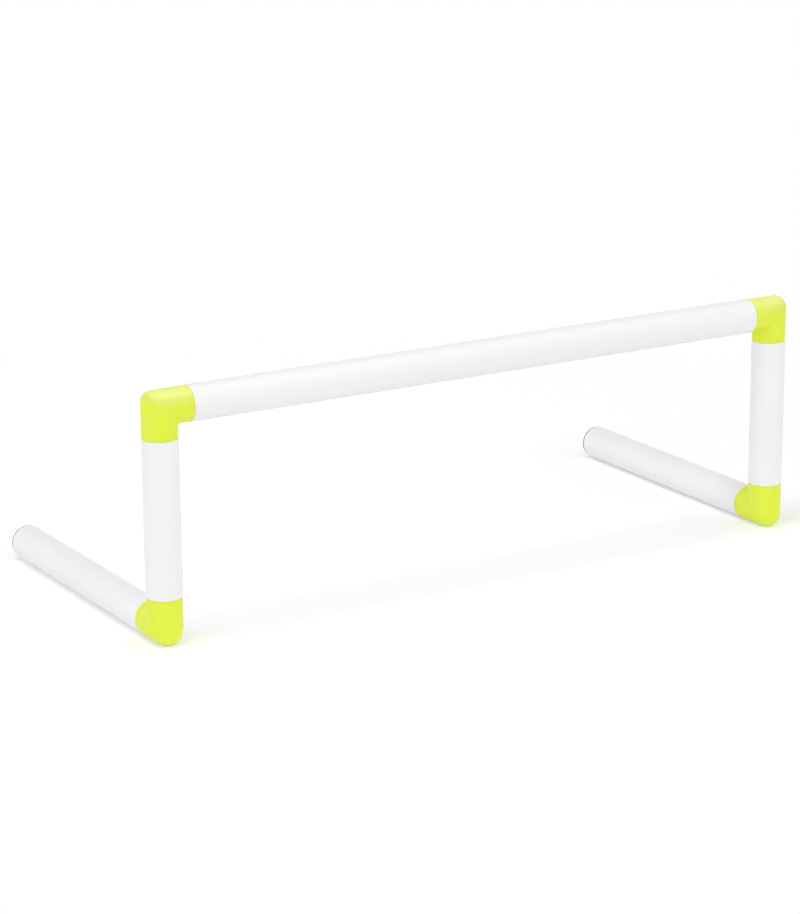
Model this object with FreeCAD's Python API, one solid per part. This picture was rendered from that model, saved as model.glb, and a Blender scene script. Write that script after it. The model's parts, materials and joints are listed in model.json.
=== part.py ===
import FreeCAD
import Part

import math
import os

from FreeCAD import Placement, Rotation, Vector

# Low training hurdle. Five straight plastic tubes push onto four equal moulded elbows: a crossbar
# on two uprights, each standing on a foot that runs back along the floor. A plug closes the free
# end of each foot. Millimetres, +X along the crossbar, +Y towards the feet's free ends, +Z up,
# with the origin on the floor below the middle of the hurdle.

# Overall sizes of the hurdle
hurdle_width = 450.0
hurdle_depth = 200.0
hurdle_height = 150.0

# Tube stock
tube_od = 21.3
tube_wall = 1.8

# Push fit in a tube, of an elbow or a plug: a round core with ribs along it that grip the bore.
# Four ribs leave the elbow's mould freely: two lie on its parting plane and two along its pull.
grip_clearance = 0.05
rib_count = 4
rib_width = 1.4
rib_height = 0.6
rib_lead_in = 5.0

# Elbow: the shoulder that one tube meets stands this far out past the side of the other tube, and
# the surface between the shoulders lies this inset below the tubes'
elbow_reach = 7.15
elbow_inset = 0.2
elbow_corner_radius = 6.2
elbow_corner_bands = 4
elbow_crotch_radius = 1.2
spigot_length = 28.0
spigot_wall = 2.0

# End plug: a thin flange on the tube's end and a hollow stem in the bore
flange_thickness = 1.0
flange_inset = 0.15
stem_length = 12.0
stem_wall = 1.6

# Radii that follow from the tube
tube_radius = tube_od / 2
bore_radius = tube_radius - tube_wall
grip_radius = bore_radius - grip_clearance
core_radius = grip_radius - rib_height
passage_radius = core_radius - spigot_wall
knuckle_radius = tube_radius - elbow_inset
flange_radius = tube_radius - flange_inset

# An elbow's arm, from the crossing of its two axes to a shoulder
elbow_arm = tube_radius + elbow_reach

# Places of the tube axes, and of the ends that the plugs close
upright_x = hurdle_width / 2 - tube_radius
front_y = tube_radius - hurdle_depth / 2
back_y = hurdle_depth / 2 - flange_thickness
foot_z = tube_radius
crossbar_z = hurdle_height - tube_radius

# Cut lengths of the tubes
crossbar_length = 2 * (upright_x - elbow_arm)
upright_length = crossbar_z - foot_z - 2 * elbow_arm
foot_length = back_y - front_y - elbow_arm

X, Y, Z = Vector(1, 0, 0), Vector(0, 1, 0), Vector(0, 0, 1)


def along(shape, start, direction):
    # Moves a solid that was made upward from the origin to run from start in this direction
    moved = shape.copy()
    moved.Placement = Placement(start, Rotation(Z, direction))
    return moved


def make_tube(length):
    # Square-cut length of tube
    return Part.makeCylinder(tube_radius, length).cut(Part.makeCylinder(bore_radius, length))


def make_grip(length):
    # Ribbed core for a tube's bore. Each rib's end slants down into the core, to find the bore.
    outline = Part.makePolygon([
        Vector(),
        Vector(grip_radius, 0, 0),
        Vector(grip_radius, 0, length - rib_lead_in),
        Vector(core_radius - rib_height, 0, length),
        Vector(0, 0, length),
        Vector(),
    ])
    rib = Part.Face(outline).extrude(Y * rib_width)
    rib.translate(Y * (-rib_width / 2))
    ribs = []
    for index in range(rib_count):
        turned = rib.copy()
        turned.rotate(Vector(), Z, 360 * index / rib_count)
        ribs.append(turned)
    grip = Part.makeCylinder(core_radius, length).multiFuse(ribs)
    return grip.common(Part.makeCylinder(grip_radius, length))


def slanted_bar(radius, end, foot, lean):
    # Round bar along +X with a square end, cut off at its start by an upright plane through the
    # point (foot, foot) that leans by this angle from square
    spare = end + radius
    bar = Part.makeCylinder(radius, spare + end, X * -spare, X)
    cutter = Part.makeBox(4 * spare, 4 * spare, 4 * spare, Vector(0, -2 * spare, -2 * spare))
    cutter.Placement = Placement(Vector(foot, foot, 0), Rotation(Z, 180 - math.degrees(lean)))
    return bar.cut(cutter)


def on_both_arms(shape):
    # The shape on the +X arm and its mirror image on the +Y arm
    return [shape, shape.mirror(Vector(), Vector(1, -1, 0))]


def make_knuckle():
    # Outside of the elbow, with arms along +X and +Y. Between the straight arms lie bands through
    # ellipses that fan about a pivot in the crotch and follow the rounding of the outer corner.
    pivot = Vector(1, 1, 0) * (knuckle_radius + elbow_crotch_radius)
    rounding_centre = Vector(1, 1, 0) * (elbow_corner_radius - knuckle_radius)
    outside = []
    for index in range(elbow_corner_bands + 1):
        turn = math.pi / 2 * index / elbow_corner_bands
        outside.append(rounding_centre - Vector(math.sin(turn), math.cos(turn), 0) * elbow_corner_radius)
    lean = math.atan2(pivot.x - outside[0].x, pivot.y - outside[0].y)
    sections = []
    for point in outside:
        away = (point - pivot).normalize()
        inside = pivot + away * (elbow_crotch_radius / math.cos(lean))
        centre = (inside + point) / 2
        oval = Part.Ellipse(point, centre + Z * knuckle_radius, centre)
        sections.append(Part.Wire(oval.toShape()))
    bend = Part.makeLoft(sections, True, True)
    return bend.multiFuse(on_both_arms(slanted_bar(knuckle_radius, elbow_arm, pivot.x, lean)))


def make_elbow():
    # Knuckle with a spigot on each arm, hollow right through, with the passage mitred at the corner
    spigot = along(make_grip(spigot_length), X * elbow_arm, X)
    passage = slanted_bar(passage_radius, elbow_arm + spigot_length, 0, math.pi / 4)
    solid = make_knuckle().multiFuse(on_both_arms(spigot))
    return solid.cut(on_both_arms(passage)).removeSplitter()


def make_plug():
    # Flange above the origin, and below it a stem that is hollow from its inner end
    flange = Part.makeCylinder(flange_radius, flange_thickness)
    stem = make_grip(stem_length)
    hollow = Part.makeCylinder(core_radius - stem_wall, stem_length, Z * stem_wall)
    return flange.fuse(along(stem.cut(hollow), Vector(), -Z)).removeSplitter()


def placed(elbow, corner, first, second):
    # Sets an elbow's corner and the directions of its two arms
    moved = elbow.copy()
    moved.Placement = Placement(corner, Rotation(first, second, first.cross(second), "XYZ"))
    return moved


elbow = make_elbow()
upright = make_tube(upright_length)
foot = make_tube(foot_length)
plug = make_plug()

bar_start = Vector(-crossbar_length / 2, front_y, crossbar_z)
nodes = {"crossbar": along(make_tube(crossbar_length), bar_start, X)}
for side, sign in (("left", -1), ("right", 1)):
    upper = Vector(sign * upright_x, front_y, crossbar_z)
    lower = Vector(sign * upright_x, front_y, foot_z)
    nodes[side + "_top_elbow"] = placed(elbow, upper, X * -sign, -Z)
    nodes[side + "_upright"] = along(upright, lower + Z * elbow_arm, Z)
    nodes[side + "_bottom_elbow"] = placed(elbow, lower, Z, Y)
    nodes[side + "_foot_tube"] = along(foot, lower + Y * elbow_arm, Y)
    nodes[side + "_end_plug"] = along(plug, lower + Y * (elbow_arm + foot_length), Y)

os.makedirs("parts", exist_ok=True)
for name, shape in nodes.items():
    shape.exportStep("parts/" + name + ".step")
    print(name, "solids", len(shape.Solids), "valid", shape.isValid(), "volume", round(shape.Volume, 1))
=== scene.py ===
import json
import math

import bmesh
import bpy
from mathutils import Matrix, Vector


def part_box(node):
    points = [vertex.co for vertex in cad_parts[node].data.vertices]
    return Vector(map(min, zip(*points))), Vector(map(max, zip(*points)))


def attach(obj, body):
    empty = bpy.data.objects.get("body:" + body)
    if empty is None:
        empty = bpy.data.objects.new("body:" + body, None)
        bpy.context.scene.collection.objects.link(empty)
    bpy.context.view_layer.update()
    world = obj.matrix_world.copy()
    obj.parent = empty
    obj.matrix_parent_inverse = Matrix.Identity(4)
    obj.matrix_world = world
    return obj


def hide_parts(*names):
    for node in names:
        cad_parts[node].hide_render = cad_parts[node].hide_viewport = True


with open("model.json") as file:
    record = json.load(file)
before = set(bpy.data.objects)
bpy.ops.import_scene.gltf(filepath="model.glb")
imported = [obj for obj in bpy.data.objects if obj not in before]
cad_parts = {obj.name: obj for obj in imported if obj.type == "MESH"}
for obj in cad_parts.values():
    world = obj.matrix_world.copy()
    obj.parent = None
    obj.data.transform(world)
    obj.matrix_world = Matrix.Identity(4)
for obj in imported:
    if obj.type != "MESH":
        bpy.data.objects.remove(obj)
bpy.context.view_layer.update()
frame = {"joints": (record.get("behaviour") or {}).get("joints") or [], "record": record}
millimetre = 0.001
quarter = math.pi / 2
corners = {joint["name"]: Vector(joint["pos_m"]) for joint in frame["joints"]}
bodyOf = {node: body for body, nodes in frame["record"]["behaviour"]["bodies"].items() for node in nodes}


class Value:
    # one output in a node tree, so that sums on values read as plain Python
    def __init__(self, tree, socket):
        self.tree = tree
        self.socket = socket

    def sums(self, operation, first, second):
        return self.tree.add("ShaderNodeMath", {"operation": operation}, {0: first, 1: second})

    def __add__(self, other):
        return self.sums("ADD", self, other)

    def __radd__(self, other):
        return self.sums("ADD", other, self)

    def __sub__(self, other):
        return self.sums("SUBTRACT", self, other)

    def __rsub__(self, other):
        return self.sums("SUBTRACT", other, self)

    def __mul__(self, other):
        return self.sums("MULTIPLY", self, other)

    def __truediv__(self, other):
        return self.sums("DIVIDE", self, other)

    def atLeast(self, limit):
        return self.sums("MAXIMUM", self, limit)

    def atMost(self, limit):
        return self.sums("MINIMUM", self, limit)


class Tree:
    # the nodes of one material, world or geometry tree
    def __init__(self, nodeTree):
        self.nodeTree = nodeTree
        nodeTree.nodes.clear()

    def find(self, sockets, key):
        if isinstance(key, int):
            return sockets[key]
        return next(s for s in sockets if s.enabled and key in (s.name, s.identifier))

    def add(self, kind, settings=None, sockets=None, output=None):
        node = self.nodeTree.nodes.new(kind)
        for key, setting in (settings or {}).items():
            setattr(node, key, setting)
        for key, value in (sockets or {}).items():
            socket = self.find(node.inputs, key)
            if isinstance(value, Value):
                self.nodeTree.links.new(value.socket, socket)
            else:
                socket.default_value = value
        if output is not None:
            return Value(self, self.find(node.outputs, output))
        shown = [s for s in node.outputs if s.enabled]
        return Value(self, shown[0]) if shown else None


# Finishes


def newFinish(name):
    material = bpy.data.materials.new(name)
    material.use_nodes = True
    return material, Tree(material.node_tree)


def noise(tree, place, pattern):
    # a pattern is its scale on each axis, per metre, and its detail
    scale, detail = pattern
    spread = tree.add("ShaderNodeMapping", {}, {"Vector": place, "Scale": scale})
    return tree.add("ShaderNodeTexNoise", {}, {"Vector": spread, "Scale": 1.0, "Detail": detail})


def swing(wave, amount):
    # a noise of 0 to 1 as a change to either side of none
    return (wave - 0.5) * amount


def bumped(tree, height, size):
    return tree.add("ShaderNodeBump", {}, {
        "Strength": size["bump"], "Distance": size["bumpDepth"], "Height": height})


def blend(tree, factor, first, second):
    return tree.add("ShaderNodeMix", {"data_type": "RGBA"}, {"Factor": factor, "A": first, "B": second})


def finishOut(tree, shader):
    tree.add("ShaderNodeOutputMaterial", {}, {"Surface": shader})


tubeFinish = {
    "white": (0.885, 0.885, 0.908, 1),
    "shade": (0.855, 0.855, 0.876, 1),
    "rough": 0.44,
    "gloss": 0.20,
    "ior": 1.5,
    "drawLines": ((900, 900, 10), 3.0),  # fine lines that run along the stock
    "clouds": ((60, 60, 22), 2.0),
    "grain": ((4200, 4200, 2600), 1.0),
    "lineTone": 0.3,  # share of the draw lines in the tone, and in the bump
    "lineHeight": 0.7,
    "lineSwing": 0.12,  # change of roughness with the draw lines, and with the clouds
    "cloudSwing": 0.10,
    "bump": 0.35,
    "bumpDepth": 0.04 * millimetre,
}


def makeTubeWhite(size):
    material, tree = newFinish("tubeWhite")
    place = tree.add("ShaderNodeAttribute", {"attribute_name": "stockPlace"}, {}, "Vector")
    lines = noise(tree, place, size["drawLines"])
    clouds = noise(tree, place, size["clouds"])
    grain = noise(tree, place, size["grain"])
    tone = clouds * (1 - size["lineTone"]) + lines * size["lineTone"]
    height = lines * size["lineHeight"] + grain * (1 - size["lineHeight"])
    shader = tree.add("ShaderNodeBsdfPrincipled", {}, {
        "Base Color": blend(tree, tone, size["white"], size["shade"]),
        "Roughness": size["rough"] + swing(lines, size["lineSwing"]) + swing(clouds, size["cloudSwing"]),
        "IOR": size["ior"],
        "Specular IOR Level": size["gloss"],
        "Normal": bumped(tree, height, size),
    })
    finishOut(tree, shader)
    return material


elbowFinish = {
    "yellow": (0.764, 0.879, 0.067, 1),
    "deep": (0.734, 0.862, 0.057, 1),
    "paintedSheenTone": (0.676, 0.756, 0.064, 1),  # painted shade: a darker tone on the top elbows' upward faces, where the top lamp's sheen falls, under a thin coat
    "rough": 0.42,
    "gloss": 0.25,
    "ior": 1.5,
    "scatter": 0.4,  # share of the light that spreads inside the plastic
    "scatterReach": 2.0 * millimetre,
    "scatterTint": (1.0, 1.0, 0.3),
    "polish": 0.9,
    "polishRough": 0.68,
    "polishIor": 2.0,
    "flow": ((75, 75, 75), 2.0),  # slow change of colour where the plastic flowed
    "grain": ((3200, 3200, 3200), 2.0),
    "flowSwing": 0.10,
    "grainSwing": 0.10,
    "bump": 0.3,
    "bumpDepth": 0.05 * millimetre,
}


def makeElbowYellow(size):
    material, tree = newFinish("elbowYellow")
    place = tree.add("ShaderNodeTexCoord", {}, {}, "Object")
    flow = noise(tree, place, size["flow"])
    grain = noise(tree, place, size["grain"])
    # mask of the top elbows' upward faces: a darker tone is painted there under the top lamp's sheen, and
    # the coat goes there
    sheenToneAndCoat = tree.add("ShaderNodeAttribute", {"attribute_name": "paintedSheenAndCoat"}, {}, "Fac")
    plain = blend(tree, flow, size["yellow"], size["deep"])
    shader = tree.add("ShaderNodeBsdfPrincipled", {}, {
        "Base Color": blend(tree, sheenToneAndCoat, plain, size["paintedSheenTone"]),
        "Roughness": size["rough"] + swing(grain, size["grainSwing"]) + swing(flow, size["flowSwing"]),
        "IOR": size["ior"],
        "Specular IOR Level": size["gloss"],
        "Subsurface Weight": size["scatter"],
        "Subsurface Scale": size["scatterReach"],
        "Subsurface Radius": size["scatterTint"],
        "Coat Weight": sheenToneAndCoat * size["polish"],
        "Coat Roughness": size["polishRough"],
        "Coat IOR": size["polishIor"],
        "Normal": bumped(tree, grain, size),
    })
    finishOut(tree, shader)
    return material


plugFinish = {
    "black": (0.020, 0.020, 0.022, 1),
    "worn": (0.045, 0.045, 0.048, 1),
    "rough": 0.55,
    "ior": 1.5,
    "cloud": ((220, 220, 220), 3.0),
    "grain": ((3600, 3600, 3600), 2.0),
    "grainSwing": 0.15,
    "bump": 0.4,
    "bumpDepth": 0.06 * millimetre,
}


def makePlugBlack(size):
    material, tree = newFinish("plugBlack")
    place = tree.add("ShaderNodeTexCoord", {}, {}, "Object")
    cloud = noise(tree, place, size["cloud"])
    grain = noise(tree, place, size["grain"])
    shader = tree.add("ShaderNodeBsdfPrincipled", {}, {
        "Base Color": blend(tree, cloud, size["black"], size["worn"]),
        "Roughness": size["rough"] + swing(grain, size["grainSwing"]),
        "IOR": size["ior"],
        "Normal": bumped(tree, grain, size),
    })
    finishOut(tree, shader)
    return material


tubeWhite = makeTubeWhite(tubeFinish)
elbowYellow = makeElbowYellow(elbowFinish)
plugBlack = makePlugBlack(plugFinish)
print("finishes made")


# Geometry trees


def newGeometry(name, inputs):
    group = bpy.data.node_groups.new(name, "GeometryNodeTree")
    for label, kind in inputs.items():
        group.interface.new_socket(label, in_out="INPUT", socket_type="NodeSocket" + kind)
    group.interface.new_socket("Geometry", in_out="OUTPUT", socket_type="NodeSocketGeometry")
    tree = Tree(group)
    source = tree.nodeTree.nodes.new("NodeGroupInput")
    asked = {label: Value(tree, source.outputs[label]) for label in inputs}
    return group, tree, asked


def placeAndFinish(tree, shape, asked):
    turn = tree.add("FunctionNodeEulerToRotation", {}, {"Euler": asked["Turn"]})
    moved = tree.add("GeometryNodeTransform", {}, {
        "Geometry": shape, "Translation": asked["Start"], "Rotation": turn})
    real = tree.add("GeometryNodeRealizeInstances", {}, {"Geometry": moved})
    done = tree.add("GeometryNodeSetMaterial", {}, {"Geometry": real, "Material": asked["Finish"]})
    tree.add("NodeGroupOutput", {}, {"Geometry": done})


def growMesh(group, values):
    # runs a geometry tree once and returns its plain mesh
    holder = bpy.data.objects.new(group.name, bpy.data.meshes.new(group.name))
    bpy.context.scene.collection.objects.link(holder)
    modifier = holder.modifiers.new(group.name, "NODES")
    modifier.node_group = group
    for item in group.interface.items_tree:
        if item.in_out == "INPUT":
            modifier[item.identifier] = values[item.name]
    graph = bpy.context.evaluated_depsgraph_get()
    mesh = bpy.data.meshes.new_from_object(holder.evaluated_get(graph))
    bpy.data.objects.remove(holder)
    mesh.materials.clear()  # the tree leaves an empty slot before the finish
    mesh.materials.append(values["Finish"])
    return mesh


def makeTubeTree():
    # a rectangle, the wall cut along its length, swept once round the axis
    group, tree, asked = newGeometry("tubeStock", {
        "Length": "Float", "Outer Radius": "Float", "Wall": "Float", "Edge Break": "Float",
        "Sides": "Int", "Start": "Vector", "Turn": "Vector", "Finish": "Material"})
    section = tree.add("GeometryNodeCurvePrimitiveQuadrilateral", {"mode": "RECTANGLE"}, {
        "Width": asked["Wall"], "Height": asked["Length"]})
    eased = tree.add("GeometryNodeFilletCurve", {"mode": "POLY"}, {
        "Curve": section, "Count": 1, "Radius": asked["Edge Break"]})
    rail = tree.add("GeometryNodeCurvePrimitiveCircle", {"mode": "RADIUS"}, {
        "Resolution": asked["Sides"], "Radius": asked["Outer Radius"] - asked["Wall"] * 0.5})
    swept = tree.add("GeometryNodeCurveToMesh", {}, {"Curve": rail, "Profile Curve": eased})
    lift = tree.add("ShaderNodeCombineXYZ", {}, {"Z": asked["Length"] * 0.5})
    stood = tree.add("GeometryNodeTransform", {}, {"Geometry": swept, "Translation": lift})
    spot = tree.add("GeometryNodeInputPosition")
    kept = {"data_type": "FLOAT_VECTOR", "domain": "POINT"}
    marked = tree.add("GeometryNodeStoreNamedAttribute", kept, {
        "Geometry": stood, "Name": "stockPlace", "Value": spot})
    placeAndFinish(tree, marked, asked)
    return group


def makeRibTree():
    # one rib with a slanted end, set round the axis as often as asked
    group, tree, asked = newGeometry("gripRibs", {
        "Count": "Int", "Core Radius": "Float", "Height": "Float", "Sink": "Float", "Width": "Float",
        "Length": "Float", "Lead In": "Float", "Start": "Vector", "Turn": "Vector", "Finish": "Material"})
    root = asked["Core Radius"] - asked["Sink"]
    top = asked["Core Radius"] + asked["Height"]
    full = asked["Lead In"] - asked["Length"]  # the sweep turns the section's Y downwards
    # the end drops twice the rib's height over the lead-in
    slope = asked["Lead In"] * (asked["Height"] + asked["Sink"]) / (asked["Height"] * 2.0)
    section = tree.add("GeometryNodeCurvePrimitiveQuadrilateral", {"mode": "POINTS"}, {
        "Point 1": tree.add("ShaderNodeCombineXYZ", {}, {"X": root}),
        "Point 2": tree.add("ShaderNodeCombineXYZ", {}, {"X": root, "Y": full - slope}),
        "Point 3": tree.add("ShaderNodeCombineXYZ", {}, {"X": top, "Y": full}),
        "Point 4": tree.add("ShaderNodeCombineXYZ", {}, {"X": top})})
    rail = tree.add("GeometryNodeCurvePrimitiveLine", {"mode": "POINTS"}, {
        "Start": tree.add("ShaderNodeCombineXYZ", {}, {"Y": asked["Width"] * -0.5}),
        "End": tree.add("ShaderNodeCombineXYZ", {}, {"Y": asked["Width"] * 0.5})})
    rib = tree.add("GeometryNodeCurveToMesh", {}, {
        "Curve": rail, "Profile Curve": section, "Fill Caps": True})
    spots = tree.add("GeometryNodePoints", {}, {"Count": asked["Count"]})
    step = tree.add("GeometryNodeInputIndex") * (2 * math.pi) / asked["Count"]
    turned = tree.add("FunctionNodeEulerToRotation", {}, {
        "Euler": tree.add("ShaderNodeCombineXYZ", {}, {"Z": step})})
    ribs = tree.add("GeometryNodeInstanceOnPoints", {}, {
        "Points": spots, "Instance": rib, "Rotation": turned})
    placeAndFinish(tree, ribs, asked)
    return group


tubeTree = makeTubeTree()
ribTree = makeRibTree()
print("geometry trees made")


# Pieces

sharpAngle = math.radians(32)  # between two faces, from where their edge is shaded sharp
stockTurns = ((0, quarter, 0), (-quarter, 0, 0), (0, 0, 0))  # from +Z to +X, +Y or +Z


def addPiece(name, mesh, node):
    mesh.name = name
    mesh.shade_smooth()
    mesh.set_sharp_from_angle(angle=sharpAngle)
    piece = bpy.data.objects.new(name, mesh)
    bpy.context.scene.collection.objects.link(piece)
    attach(piece, bodyOf[node])
    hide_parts(node)


tubeSize = {"wall": 1.8 * millimetre, "edgeBreak": 0.15 * millimetre, "sides": 128}


def makeTube(name, node, axis, size):
    low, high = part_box(node)
    start = (low + high) / 2
    start[axis] = low[axis]
    mesh = growMesh(tubeTree, {
        "Length": high[axis] - low[axis],
        "Outer Radius": (high[axis - 1] - low[axis - 1]) / 2,
        "Wall": size["wall"],
        "Edge Break": size["edgeBreak"],
        "Sides": size["sides"],
        "Start": start,
        "Turn": stockTurns[axis],
        "Finish": tubeWhite,
    })
    addPiece(name, mesh, node)


gripSize = {
    "core": 8.2 * millimetre,
    "ribs": 4,
    "ribHeight": 0.55 * millimetre,
    "ribSink": 0.2 * millimetre,
    "ribWidth": 1.4 * millimetre,
    "ribLeadIn": 5.0 * millimetre,
    "tipBreak": 0.3 * millimetre,
}


def gripRibs(size, length, start, turn, finish):
    return growMesh(ribTree, {
        "Count": size["ribs"],
        "Core Radius": size["core"],
        "Height": size["ribHeight"],
        "Sink": size["ribSink"],
        "Width": size["ribWidth"],
        "Length": length,
        "Lead In": size["ribLeadIn"],
        "Start": start,
        "Turn": turn,
        "Finish": finish,
    })


def skinRings(rings, closed):
    # quads between rings of equally many points
    work = bmesh.new()
    loops = [[work.verts.new(point) for point in ring] for ring in rings]
    following = loops[1:] + loops[:1] if closed else loops[1:]
    for first, second in zip(loops, following):
        for k in range(len(first)):
            after = (k + 1) % len(first)
            work.faces.new((first[k], first[after], second[after], second[k]))
    return work, loops


elbowSize = {
    "arm": 17.8 * millimetre,
    "cornerRadius": 6.2 * millimetre,
    "crotchRadius": 1.2 * millimetre,
    "edgeBreak": 0.15 * millimetre,
    "spigot": 28.0 * millimetre,
    "passage": 6.2 * millimetre,
    "seamHeight": 0.05 * millimetre,  # the mould's parting line, on the plane of the two arms
    "seamHalf": 0.25 * millimetre,
    "sheenAndCoatReach": 45.0 * millimetre,
    "sheenAndCoatFacing": 0.55,  # how squarely a face looks up towards the top lamp, from where the painted darker tone and the coat are full
    "sides": 92,
    "cornerSteps": 28,
    "armSteps": 6,
}


def elbowRings(size, radius):
    # rings from one spigot's tip over the knuckle to the other's, and back through the passage;
    # the arms lie along +X and +Y, and angle 0 is on the outer side of the corner
    seam = size["seamHalf"] / radius
    angles = [2 * math.pi * k / size["sides"] for k in range(size["sides"])]
    angles = sorted(angles + [seam, math.pi - seam, math.pi + seam, 2 * math.pi - seam])
    half = len(angles) // 2
    ridge = [size["seamHeight"] if k % half == 0 else 0.0 for k in range(len(angles))]

    def square(along, reach, raised=0.0):
        return [Vector((along, -(reach + raised * lift) * math.cos(a), reach * math.sin(a)))
                for a, lift in zip(angles, ridge)]

    def slanted(outer, inner):
        middle, away = (outer + inner) / 2, (outer - inner).normalized()
        reach = (outer - inner).length / 2
        return [middle + away * (reach + lift) * math.cos(a) + Vector((0, 0, radius * math.sin(a)))
                for a, lift in zip(angles, ridge)]

    arm, tip, passage = size["arm"], size["arm"] + size["spigot"], size["passage"]
    edge, blunt, core = size["edgeBreak"], gripSize["tipBreak"], gripSize["core"]
    firstArm = [
        square(tip, passage),
        square(tip, core - blunt),
        square(tip - blunt, core),
        square(arm, core),
        square(arm, radius - edge),
        square(arm - edge, radius, 1.0),
    ]
    pivot = Vector((1, 1, 0)) * (radius + size["crotchRadius"])
    bend = size["cornerRadius"]
    centre = bend - radius
    outers = []
    for k in range(size["armSteps"] + 1):
        share = k / size["armSteps"]
        outers.append(Vector((pivot.x + (centre - pivot.x) * share, -radius, 0)))
    for k in range(1, size["cornerSteps"]):
        turn = quarter * k / size["cornerSteps"]
        outers.append(Vector((centre - bend * math.sin(turn), centre - bend * math.cos(turn), 0)))
    outers += [Vector((p.y, p.x, 0)) for p in reversed(outers[:size["armSteps"] + 1])]
    knuckle = [slanted(p, pivot + (p - pivot).normalized() * size["crotchRadius"]) for p in outers]
    secondArm = [[Vector((p.y, p.x, p.z)) for p in ring] for ring in reversed(firstArm)]
    mitre = [Vector((-math.cos(a), -math.cos(a), math.sin(a))) * passage for a in angles]
    return firstArm + knuckle + secondArm + [mitre]


def smooth(share):
    # kept within 0 and 1, and eased at both ends
    share = min(1.0, max(0.0, share))
    return share * share * (3 - 2 * share)


def markSheenToneAndCoat(mesh, radius, size):
    # 1 on the faces opposite the second arm, which look up on a top elbow where the top lamp's sheen
    # falls, easing to 0 along the first arm and round it; it sets the painted darker tone and the coat
    # there
    middle = Vector((0, -radius, 0))
    polish = mesh.attributes.new("paintedSheenAndCoat", "FLOAT", "POINT")
    for vertex, mark in zip(mesh.vertices, polish.data):
        near = smooth(1 - (vertex.co - middle).length / size["sheenAndCoatReach"])
        mark.value = near * smooth(-vertex.normal.y / size["sheenAndCoatFacing"])


def makeElbow(name, node, corner, first, second, takesSheenTone, size):
    low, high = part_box(node)
    third = first.cross(second)
    across = max(range(3), key=lambda axis: abs(third[axis]))
    radius = (high[across] - low[across]) / 2
    work, _ = skinRings(elbowRings(size, radius), True)
    bmesh.ops.recalc_face_normals(work, faces=work.faces)
    for axis in (0, 1):
        start = Vector()
        start[axis] = size["arm"]
        work.from_mesh(gripRibs(gripSize, size["spigot"], start, stockTurns[axis], elbowYellow))
    mesh = bpy.data.meshes.new(name)
    work.to_mesh(mesh)
    work.free()
    mesh.materials.append(elbowYellow)
    # only the top elbows get the painted darker tone under the sheen, and the coat
    if takesSheenTone:
        markSheenToneAndCoat(mesh, radius, size)
    place = Matrix((first, second, third)).transposed().to_4x4()
    place.translation = corner
    mesh.transform(place)
    addPiece(name, mesh, node)


plugSize = {
    "flange": 1.0 * millimetre,
    "flangeBreak": 0.1 * millimetre,
    "round": 0.3 * millimetre,
    "land": 1.9 * millimetre,  # flat ring round the face's shallow dish
    "dish": 0.4 * millimetre,
    "dishSlope": 0.35 * millimetre,
    "gate": 0.9 * millimetre,  # mark that the mould leaves at the middle, and its flat top
    "gateTop": 0.54 * millimetre,
    "gateHeight": 0.2 * millimetre,
    "stem": 12.0 * millimetre,
    "stemWall": 1.6 * millimetre,
    "innerRing": 2.31 * millimetre,  # on the floor of the hollow stem
    "sides": 96,
    "roundSteps": 5,
}


def makePlug(name, node, size):
    low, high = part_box(node)
    middle = (low + high) / 2
    radius = (high.x - low.x) / 2
    top, blunt, core = size["flange"], gripSize["tipBreak"], gripSize["core"]
    hollow = core - size["stemWall"]
    rim, sunk = radius - size["land"], top - size["dish"]
    outline = [
        (size["gateTop"], sunk + size["gateHeight"]),
        (size["gate"], sunk),
        (rim - size["dishSlope"], sunk),
        (rim, top),
        (radius - 2 * size["round"], top),
    ]
    for k in range(size["roundSteps"] + 1):
        turn = quarter * k / size["roundSteps"]
        outline.append((
            radius - size["round"] + size["round"] * math.sin(turn),
            top - size["round"] + size["round"] * math.cos(turn)))
    outline += [
        (radius, size["flangeBreak"]),
        (radius - size["flangeBreak"], 0),
        (core, 0),
        (core, blunt - size["stem"]),
        (core - blunt, -size["stem"]),
        (hollow, -size["stem"]),
        (hollow, -size["stemWall"]),
        (size["innerRing"], -size["stemWall"]),
    ]
    turns = [2 * math.pi * k / size["sides"] for k in range(size["sides"])]
    rings = [[Vector((r * math.cos(a), r * math.sin(a), z)) for a in turns] for r, z in outline]
    work, loops = skinRings(rings, False)
    for end in (0, -1):
        loop, height = loops[end], outline[end][1]
        pole = work.verts.new((0, 0, height))
        for k in range(len(loop)):
            work.faces.new((loop[k], loop[(k + 1) % len(loop)], pole))
    bmesh.ops.recalc_face_normals(work, faces=work.faces)
    work.from_mesh(gripRibs(gripSize, size["stem"], (0, 0, 0), (math.pi, 0, 0), plugBlack))
    mesh = bpy.data.meshes.new(name)
    work.to_mesh(mesh)
    work.free()
    mesh.materials.append(plugBlack)
    seat = Vector((middle.x, high.y - size["flange"], middle.z))
    mesh.transform(Matrix.Translation(seat) @ Matrix.Rotation(-quarter, 4, "X"))
    addPiece(name, mesh, node)


along, back, up = Vector((1, 0, 0)), Vector((0, 1, 0)), Vector((0, 0, 1))
makeTube("crossbarTube", "crossbar", 0, tubeSize)
for side, inward in (("left", along), ("right", -along)):
    upper, lower = corners[side + "_leg_swing"], corners[side + "_foot_swivel"]
    makeElbow(side + "TopElbow", side + "_top_elbow", upper, inward, -up, True, elbowSize)
    makeTube(side + "UprightTube", side + "_upright", 2, tubeSize)
    makeElbow(side + "BottomElbow", side + "_bottom_elbow", lower, up, back, False, elbowSize)
    makeTube(side + "FootTube", side + "_foot_tube", 1, tubeSize)
    makePlug(side + "EndPlug", side + "_end_plug", plugSize)
print("pieces made")


# Stage, light and camera

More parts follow.
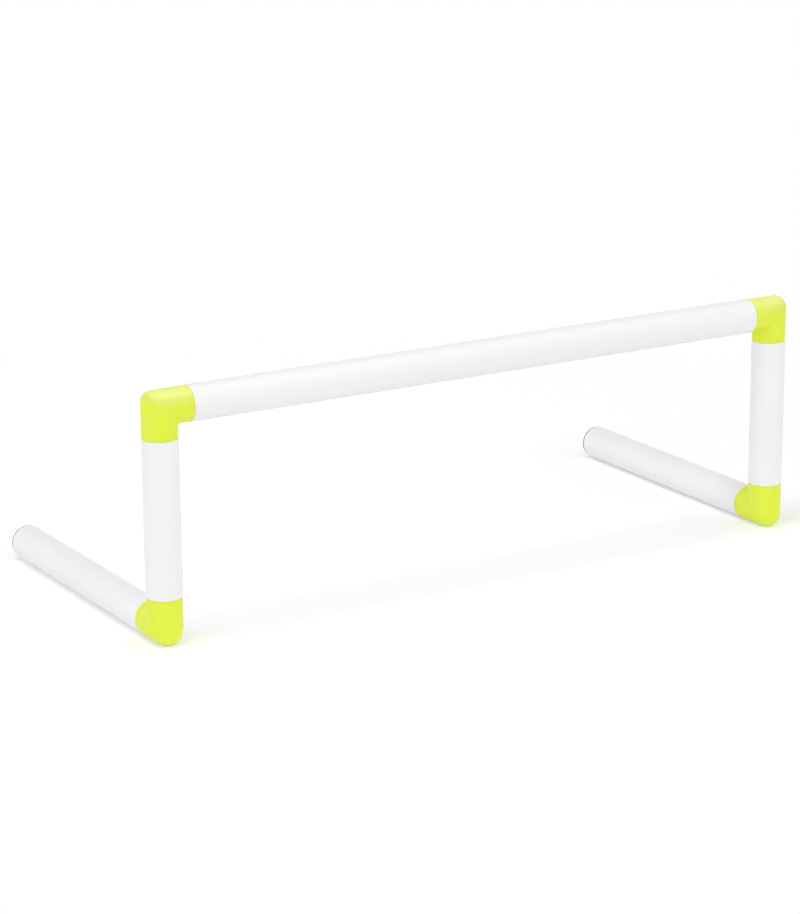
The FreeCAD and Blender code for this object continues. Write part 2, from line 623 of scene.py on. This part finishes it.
stageSize = {
    "floor": 30.0,
    "floorWhite": 0.97,
    "floorSeen": 0.73,  # what the camera or a gloss sees of the floor near the hurdle
    "floorLift": 0.365,  # glow added to that
    "floorFade": (0.30, 0.60),  # distances from the middle, where the floor turns plain white
    "skyLow": 1.74,
    "skyHigh": 0.12,
    "skyPatches": {  # a wide patch in front, and the dim end of the room
        (-0.35, -0.75, 0.55): 0.10,
        (-0.85, 0.50, 0.10): -0.25,
    },
    # light on the object, half angle in degrees, distance, direction, and if it shows in gloss alone
    "lamps": {
        "softboxCore": (0.84, 12, 2.6, (-0.30, -0.11, 0.95), False),
        "topBank": (1.80, 28, 1.6, (0.29, -0.11, 0.95), True),
    },
}


def grey(level):
    return (level, level, level, 1)


def seenDirectly(tree):
    # 1 for what the camera, a gloss or a clear piece sees, 0 for what lights the object
    path = tree.nodeTree.nodes.new("ShaderNodeLightPath")
    camera, gloss, clear = (
        Value(tree, path.outputs["Is " + ray + " Ray"]) for ray in ("Camera", "Glossy", "Transmission"))
    return (camera + gloss + clear).atMost(1.0)


def makeFloor(size):
    reach = size["floor"] / 2
    outline = [(-reach, -reach, 0), (reach, -reach, 0), (reach, reach, 0), (-reach, reach, 0)]
    mesh = bpy.data.meshes.new("studioFloor")
    mesh.from_pydata(outline, [], [(0, 1, 2, 3)])
    floor = bpy.data.objects.new("studioFloor", mesh)
    bpy.context.scene.collection.objects.link(floor)
    material, tree = newFinish("floorWhite")
    seen = seenDirectly(tree)
    matt = tree.add("ShaderNodeBsdfDiffuse", {}, {
        "Color": blend(tree, seen, grey(size["floorWhite"]), grey(size["floorSeen"]))})
    lift = tree.add("ShaderNodeEmission", {}, {"Color": grey(1), "Strength": seen * size["floorLift"]})
    lifted = tree.add("ShaderNodeAddShader", {}, {0: matt, 1: lift})
    white = tree.add("ShaderNodeEmission", {}, {"Color": grey(1), "Strength": 1.0})
    place = tree.add("ShaderNodeTexCoord", {}, {}, "Object")
    away = tree.add("ShaderNodeVectorMath", {"operation": "LENGTH"}, {0: place}, "Value")
    start, end = size["floorFade"]
    spread = tree.add("ShaderNodeMapRange", {"interpolation_type": "SMOOTHSTEP"}, {
        "Value": away, "From Min": start, "From Max": end})
    finishOut(tree, tree.add("ShaderNodeMixShader", {}, {0: seen * spread, 1: lifted, 2: white}))
    mesh.materials.append(material)


def makeSky(size):
    world = bpy.data.worlds.new("studioSky")
    world.use_nodes = True
    bpy.context.scene.world = world
    tree = Tree(world.node_tree)
    place = tree.add("ShaderNodeTexCoord", {}, {}, "Generated")
    height = tree.add("ShaderNodeSeparateXYZ", {}, {"Vector": place}, "Z")
    seen = seenDirectly(tree)
    level = size["skyLow"] + height.atLeast(0.0) * (size["skyHigh"] - size["skyLow"])
    for direction, amount in size["skyPatches"].items():
        facing = tree.add("ShaderNodeVectorMath", {"operation": "DOT_PRODUCT"}, {
            0: place, 1: Vector(direction).normalized()}, "Value").atLeast(0.0)
        level = level + facing * facing * amount
    strength = seen + (1 - seen) * level
    shader = tree.add("ShaderNodeBackground", {}, {"Color": grey(1), "Strength": strength})
    tree.add("ShaderNodeOutputWorld", {}, {"Surface": shader})


def makeLamps(size):
    for name, (level, half, distance, direction, glossAlone) in size["lamps"].items():
        spread, toward = math.radians(half), Vector(direction).normalized()
        light = bpy.data.lights.new(name, "AREA")
        light.shape = "DISK"
        light.size = 2 * distance * math.tan(spread)
        light.energy = math.pi * level * (distance / math.cos(spread)) ** 2
        lamp = bpy.data.objects.new(name, light)
        lamp.location = toward * distance
        lamp.rotation_euler = toward.to_track_quat("Z", "Y").to_euler()
        lamp.visible_diffuse = not glossAlone
        bpy.context.scene.collection.objects.link(lamp)


makeFloor(stageSize)
makeSky(stageSize)
makeLamps(stageSize)
print("stage lit")

cameraSize = {
    "place": (-0.93675, -1.55195, 0.57320),
    "yaw": 31.014,  # degrees from +Y towards +X
    "pitch": 15.917,
    "roll": 0.424,
    "lens": 118.654,
    "sensor": 36.0,
}


def makeCamera(size):
    yaw, pitch, roll = (math.radians(size[key]) for key in ("yaw", "pitch", "roll"))
    ahead = Vector((math.sin(yaw) * math.cos(pitch), math.cos(yaw) * math.cos(pitch), -math.sin(pitch)))
    right = Vector((math.cos(yaw), -math.sin(yaw), 0))
    down = ahead.cross(right)
    side = right * math.cos(roll) + down * math.sin(roll)
    top = right * math.sin(roll) - down * math.cos(roll)
    lens = bpy.data.cameras.new("photoCamera")
    lens.lens = size["lens"]
    lens.sensor_width = size["sensor"]
    camera = bpy.data.objects.new("photoCamera", lens)
    place = Matrix((side, top, -ahead)).transposed().to_4x4()
    place.translation = Vector(size["place"])
    camera.matrix_world = place
    bpy.context.scene.collection.objects.link(camera)
    bpy.context.scene.camera = camera


makeCamera(cameraSize)
bpy.context.scene.view_settings.view_transform = "Standard"
print("camera set")
